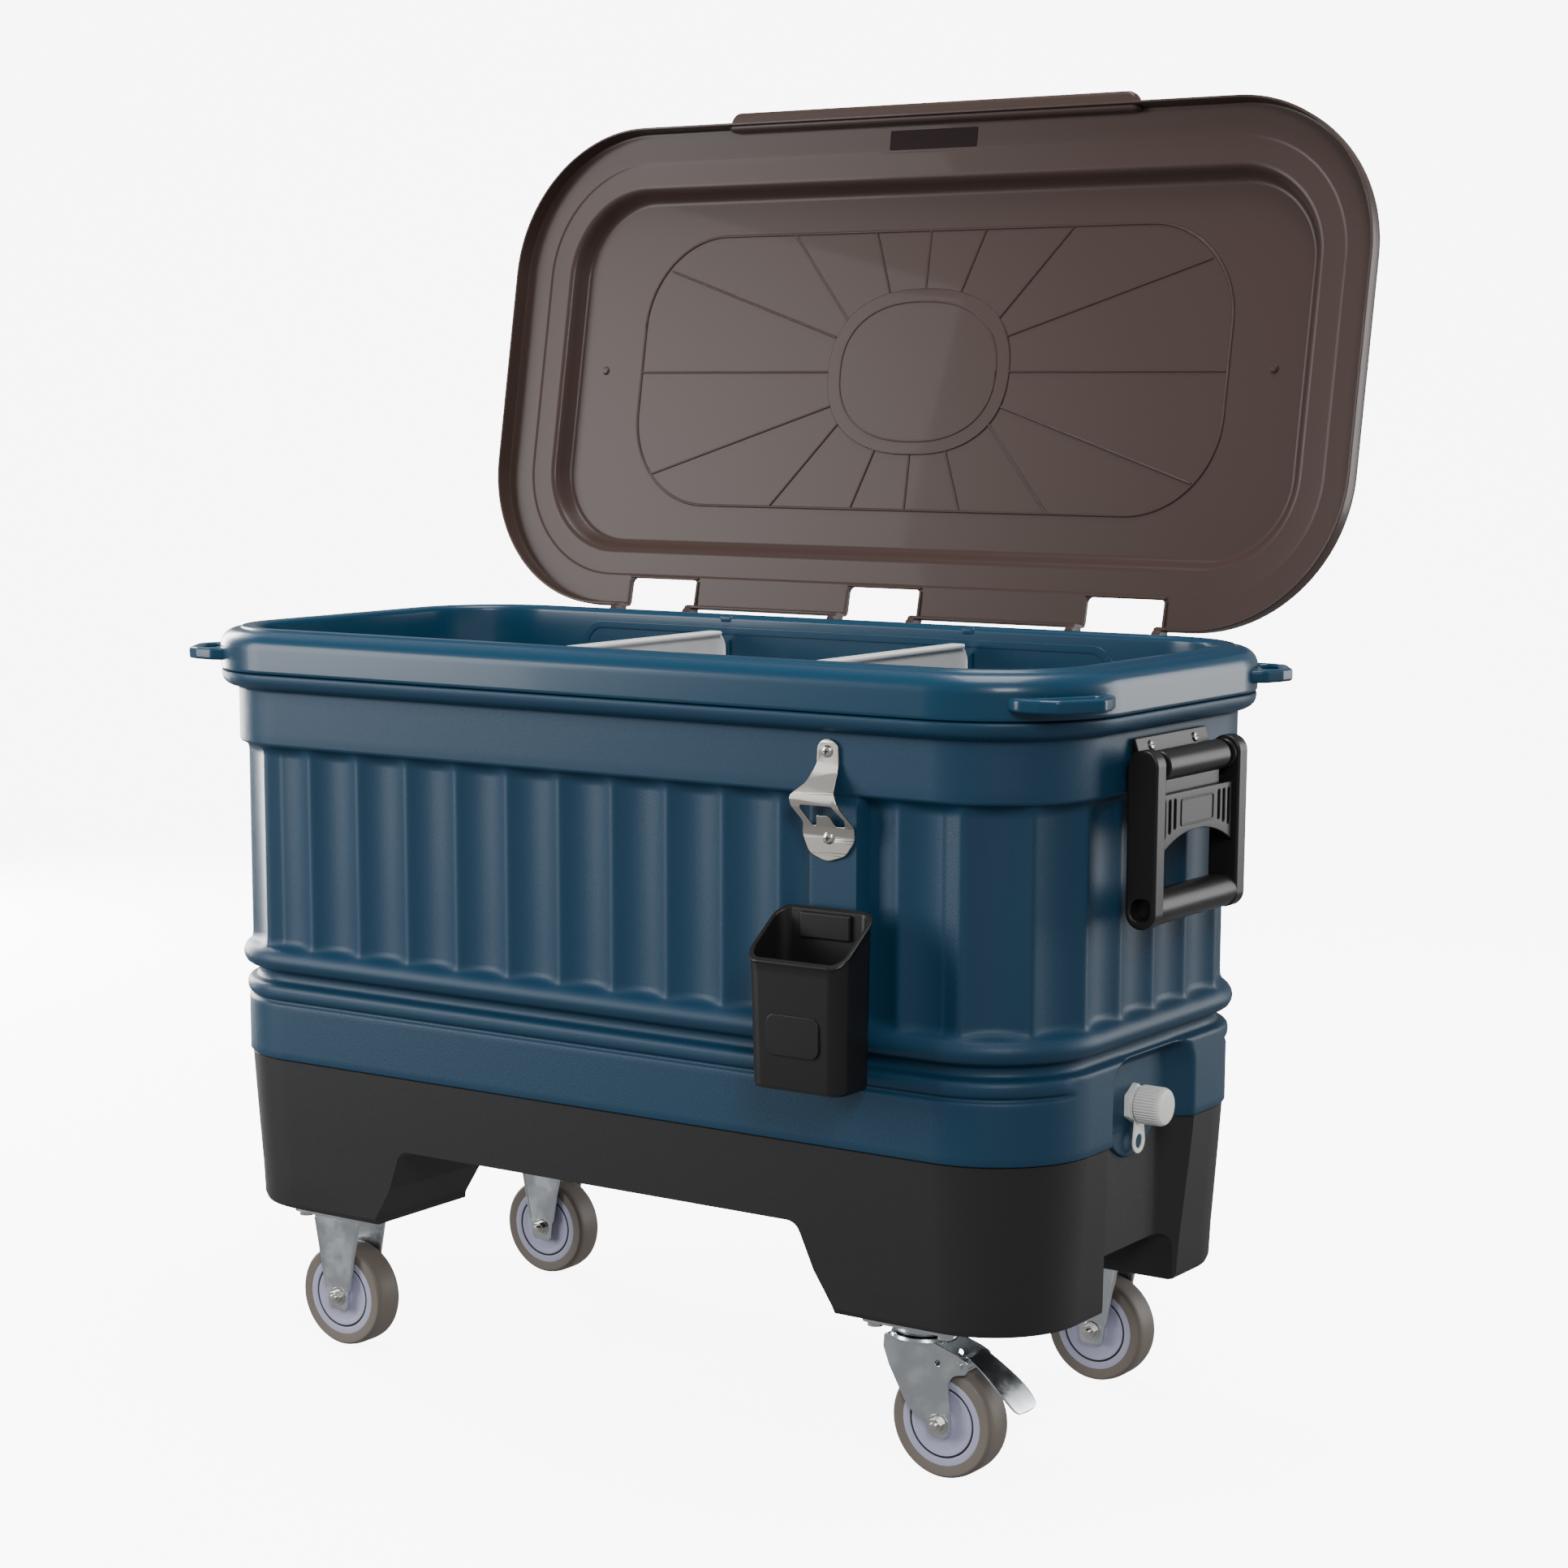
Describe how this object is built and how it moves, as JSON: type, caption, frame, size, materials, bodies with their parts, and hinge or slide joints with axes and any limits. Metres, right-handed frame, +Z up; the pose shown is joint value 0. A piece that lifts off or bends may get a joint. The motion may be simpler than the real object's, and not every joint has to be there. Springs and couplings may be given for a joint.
{
  "type": "rolling cooler chest",
  "caption": "Insulated party cooler chest with a fluted body, hinged lid, swing handles, dividers, drain, bottle opener, catch bin and a legged base on casters.",
  "frame": {"origin": "on the floor under the middle of the body", "axes": "+X towards the drain end, -Y towards the front with the opener and bin, +Z up from the floor"},
  "size_m": [1.0292, 0.6737, 1.2321],
  "materials": {
    "body_blue": "fine moulded texture",
    "rim_blue": "glossy",
    "foam": "sealed inside",
    "charcoal": "fine moulded texture",
    "bin_black": "satin",
    "handle_black": "satin",
    "lid_brown": "smoky, part see-through",
    "label_maroon": "blank sticker",
    "white": "smooth",
    "drain_white": "smooth",
    "seal_black": "smooth",
    "opener_steel": "brushed",
    "fork_zinc": "bright zinc plate",
    "fastener_steel": "plated",
    "hub_lavender": "satin",
    "tread_taupe": "smooth"
  },
  "bodies": {
    "cooler": {"outer_shell": "body_blue", "insulation_foam": "foam", "inner_liner": "rim_blue", "rim_ring": "rim_blue", "divider_guides": "rim_blue", "hinge_pins": "fastener_steel", "base_skirt": "charcoal", "bottle_opener": "opener_steel", "opener_screws": "fastener_steel", "bin_hanger": "bin_black", "hanger_screws": "fastener_steel", "drain_spout": "drain_white", "drain_gasket": "seal_black", "drain_nut": "drain_white", "drain_tether": "drain_white", "left_handle_bracket": "handle_black", "right_handle_bracket": "handle_black", "handle_screws": "fastener_steel", "handle_pins": "fastener_steel", "front_left_fork": "fork_zinc", "back_left_fork": "fork_zinc", "back_right_fork": "fork_zinc", "caster_bolts": "fastener_steel", "swivel_plate": "fork_zinc", "swivel_rivet": "fastener_steel", "front_left_axle": "fastener_steel", "back_left_axle": "fastener_steel", "back_right_axle": "fastener_steel"},
    "lid": {"lid": "lid_brown", "lid_label": "label_maroon"},
    "left_handle": {"left_handle": "handle_black"},
    "right_handle": {"right_handle": "handle_black"},
    "catch_bin": {"catch_bin": "bin_black"},
    "left_divider": {"left_divider": "white"},
    "right_divider": {"right_divider": "white"},
    "drain_cap": {"drain_cap": "drain_white"},
    "front_left_wheel": {"front_left_tyre": "tread_taupe", "front_left_hub": "hub_lavender", "front_left_bush": "hub_lavender"},
    "back_left_wheel": {"back_left_tyre": "tread_taupe", "back_left_hub": "hub_lavender", "back_left_bush": "hub_lavender"},
    "back_right_wheel": {"back_right_tyre": "tread_taupe", "back_right_hub": "hub_lavender", "back_right_bush": "hub_lavender"},
    "swivel_fork": {"swivel_fork": "fork_zinc", "front_right_axle": "fastener_steel", "brake_pin": "fastener_steel"},
    "front_right_wheel": {"front_right_tyre": "tread_taupe", "front_right_hub": "hub_lavender", "front_right_bush": "hub_lavender"},
    "brake_lever": {"brake_lever": "fork_zinc"}
  },
  "joints": [
    {"name": "lid_hinge", "type": "hinge", "parent": "cooler", "child": "lid", "pos_m": [0, 0.269, 0.702], "axis": [-1, 0, 0], "range_deg": [-100, 0]},
    {"name": "left_handle_swing", "type": "hinge", "parent": "cooler", "child": "left_handle", "pos_m": [-0.497, 0, 0.625], "axis": [0, 1, 0], "range_deg": [0, 95]},
    {"name": "right_handle_swing", "type": "hinge", "parent": "cooler", "child": "right_handle", "pos_m": [0.497, 0, 0.625], "axis": [0, -1, 0], "range_deg": [0, 95]},
    {"name": "bin_lift", "type": "slide", "parent": "cooler", "child": "catch_bin", "axis": [0, 0, 1], "range_m": [0, 0.04]},
    {"name": "left_divider_lift", "type": "slide", "parent": "cooler", "child": "left_divider", "axis": [0, 0, 1], "range_m": [0, 0.42]},
    {"name": "right_divider_lift", "type": "slide", "parent": "cooler", "child": "right_divider", "axis": [0, 0, 1], "range_m": [0, 0.42]},
    {"name": "drain_cap_turn", "type": "hinge", "parent": "cooler", "child": "drain_cap", "pos_m": [0.465, 0, 0.315], "axis": [1, 0, 0], "range_deg": [0, 540]},
    {"name": "front_left_wheel_spin", "type": "hinge", "parent": "cooler", "child": "front_left_wheel", "pos_m": [-0.335, -0.163, 0.051], "axis": [0, 1, 0], "continuous": true},
    {"name": "back_left_wheel_spin", "type": "hinge", "parent": "cooler", "child": "back_left_wheel", "pos_m": [-0.335, 0.163, 0.051], "axis": [0, 1, 0], "continuous": true},
    {"name": "back_right_wheel_spin", "type": "hinge", "parent": "cooler", "child": "back_right_wheel", "pos_m": [0.335, 0.163, 0.051], "axis": [0, 1, 0], "continuous": true},
    {"name": "caster_swivel", "type": "hinge", "parent": "cooler", "child": "swivel_fork", "pos_m": [0.335, -0.163, 0.125], "axis": [0, 0, 1], "continuous": true},
    {"name": "front_right_wheel_spin", "type": "hinge", "parent": "swivel_fork", "child": "front_right_wheel", "pos_m": [0.362, -0.163, 0.051], "axis": [0, 1, 0], "continuous": true},
    {"name": "brake_press", "type": "hinge", "parent": "swivel_fork", "child": "brake_lever", "pos_m": [0.383, -0.163, 0.107], "axis": [0, 1, 0], "range_deg": [0, 15]}
  ]
}
